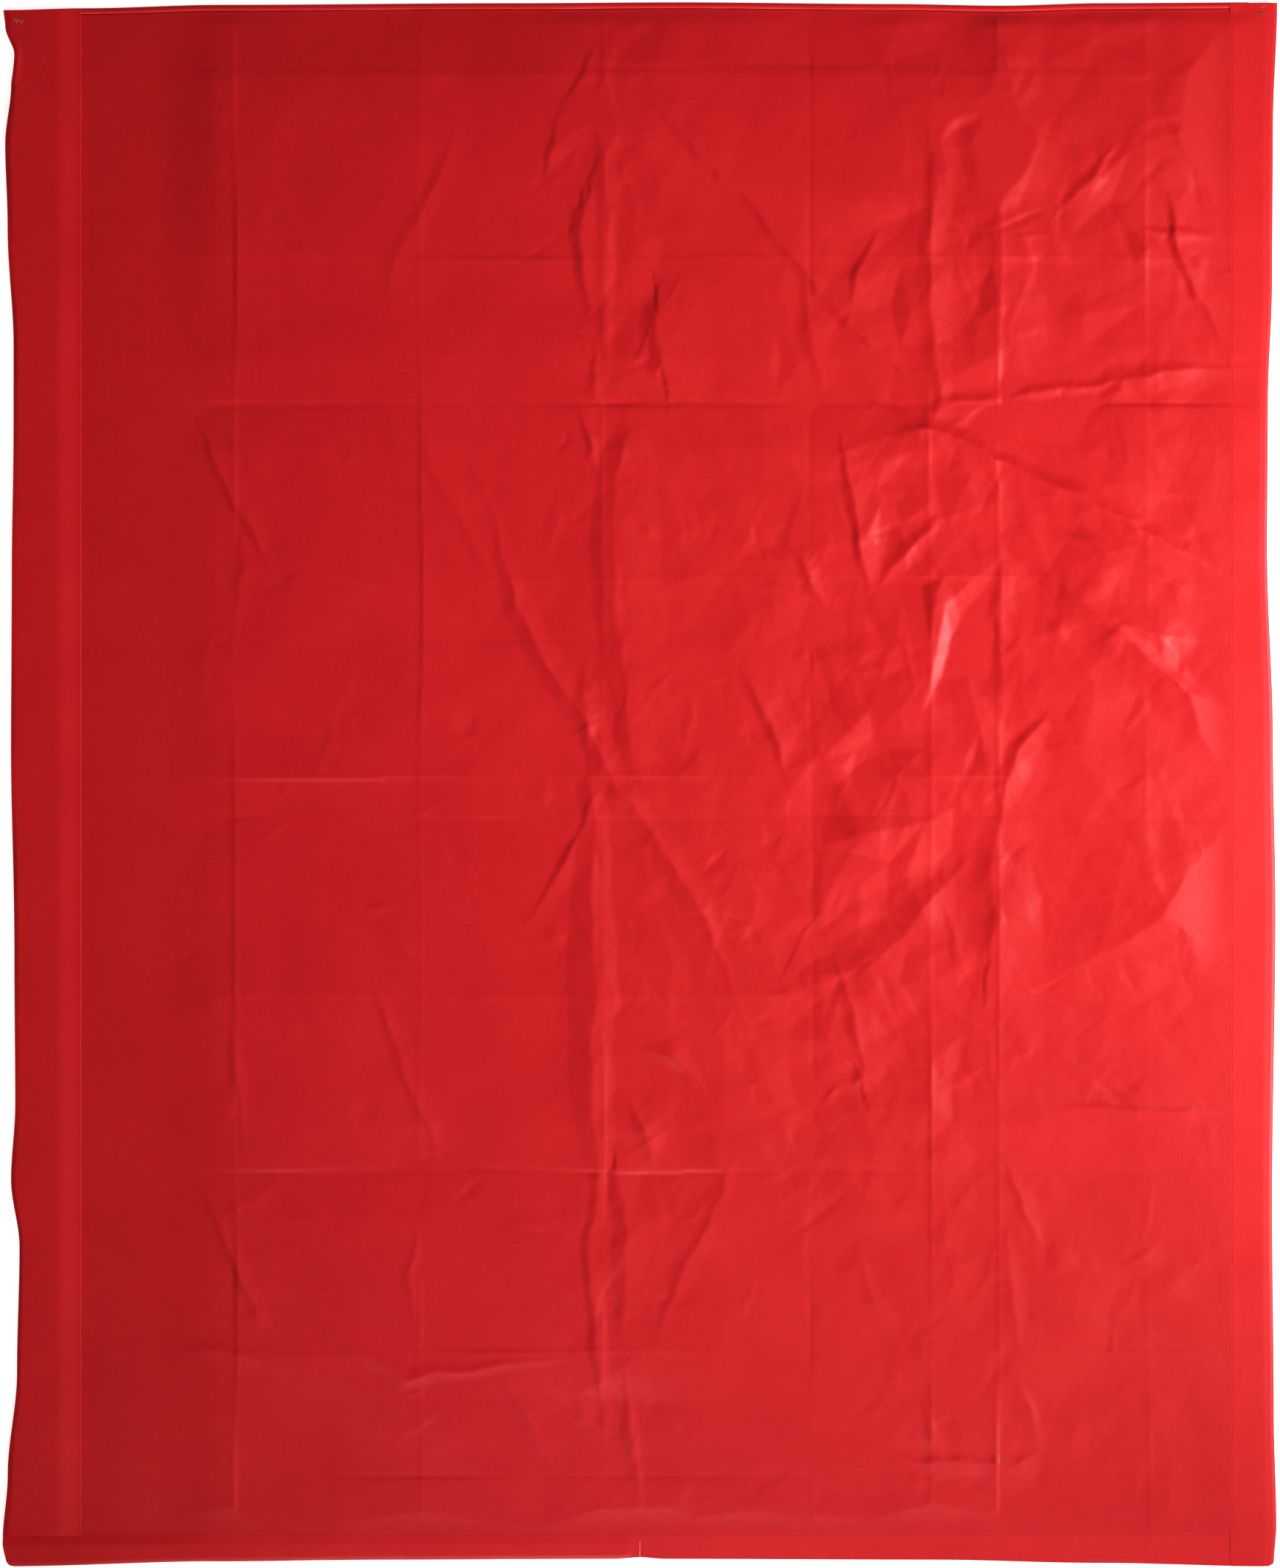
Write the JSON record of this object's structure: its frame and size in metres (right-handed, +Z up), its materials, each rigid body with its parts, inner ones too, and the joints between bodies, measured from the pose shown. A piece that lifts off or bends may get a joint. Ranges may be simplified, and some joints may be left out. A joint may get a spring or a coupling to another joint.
{
  "type": "rectangular sleeping bag",
  "caption": "Thin red rectangular sleeping bag opened out flat, inside up, with a draft flap and facings over a zip along one side and the foot; folds closed about its middle.",
  "frame": {"origin": "under the middle of the opened bag, on the ground", "axes": "+X across the bag towards the half that folds over, +Y towards the head end, +Z up"},
  "size_m": [1.5, 1.85, 0.008],
  "materials": {
    "shell_cloth": "satin",
    "lining_cloth": "satin",
    "trim_cloth": "satin",
    "polyester_fill": "matte",
    "thread": "satin",
    "zip_tape": "matte",
    "zip_plastic": "gloss",
    "zip_metal": "gloss"
  },
  "bodies": {
    "left_half": {"outer_shell_left": "shell_cloth", "fill_batt_left": "polyester_fill", "edge_allowance_left": "lining_cloth", "lining_left": "lining_cloth", "head_hem_left": "trim_cloth", "zip_tape_left": "zip_tape", "zip_coil_left": "zip_plastic", "top_stop_left": "zip_metal", "retainer_box": "zip_plastic", "tape_binding_left": "trim_cloth", "foot_facing_left": "trim_cloth", "flap_seam_strip": "trim_cloth", "head_stitching_left": "thread", "binding_stitching_left": "thread", "foot_stitching_left": "thread", "flap_stitching": "thread"},
    "right_half": {"outer_shell_right": "shell_cloth", "fill_batt_right": "polyester_fill", "edge_allowance_right": "lining_cloth", "lining_right": "lining_cloth", "head_hem_right": "trim_cloth", "zip_tape_right": "zip_tape", "zip_coil_right": "zip_plastic", "top_stop_right": "zip_metal", "insertion_pin": "zip_plastic", "side_facing_right": "trim_cloth", "foot_facing_right": "trim_cloth", "head_stitching_right": "thread", "side_stitching_right": "thread", "foot_stitching_right": "thread", "side_bar_tack": "thread"},
    "flap": {"draft_flap": "trim_cloth", "flap_bar_tack": "thread"},
    "side_slider": {"side_slider": "zip_metal"},
    "side_pull": {"side_pull": "zip_metal"},
    "foot_slider": {"foot_slider": "zip_metal"},
    "foot_pull": {"foot_pull": "zip_metal"}
  },
  "joints": [
    {"name": "middle_fold", "type": "hinge", "parent": "left_half", "child": "right_half", "pos_m": [0, 0, 0.0077], "axis": [0, -1, 0], "range_deg": [0, 180]},
    {"name": "flap_turn", "type": "hinge", "parent": "left_half", "child": "flap", "pos_m": [-0.664, 0, 0.00655], "axis": [0, 1, 0], "range_deg": [0, 180]},
    {"name": "side_zip_travel", "type": "slide", "parent": "left_half", "child": "side_slider", "axis": [0, 1, 0], "range_m": [0, 1.75]},
    {"name": "side_pull_swing", "type": "hinge", "parent": "side_slider", "child": "side_pull", "pos_m": [-0.7359, -0.855, 0.0012], "axis": [-1, 0, 0], "range_deg": [0, 180]},
    {"name": "foot_zip_travel", "type": "slide", "parent": "left_half", "child": "foot_slider", "axis": [-1, 0, 0], "range_m": [0, 0.65]},
    {"name": "foot_pull_swing", "type": "hinge", "parent": "foot_slider", "child": "foot_pull", "pos_m": [-0.03, -0.9109, 0.0012], "axis": [0, -1, 0], "range_deg": [0, 180]}
  ]
}
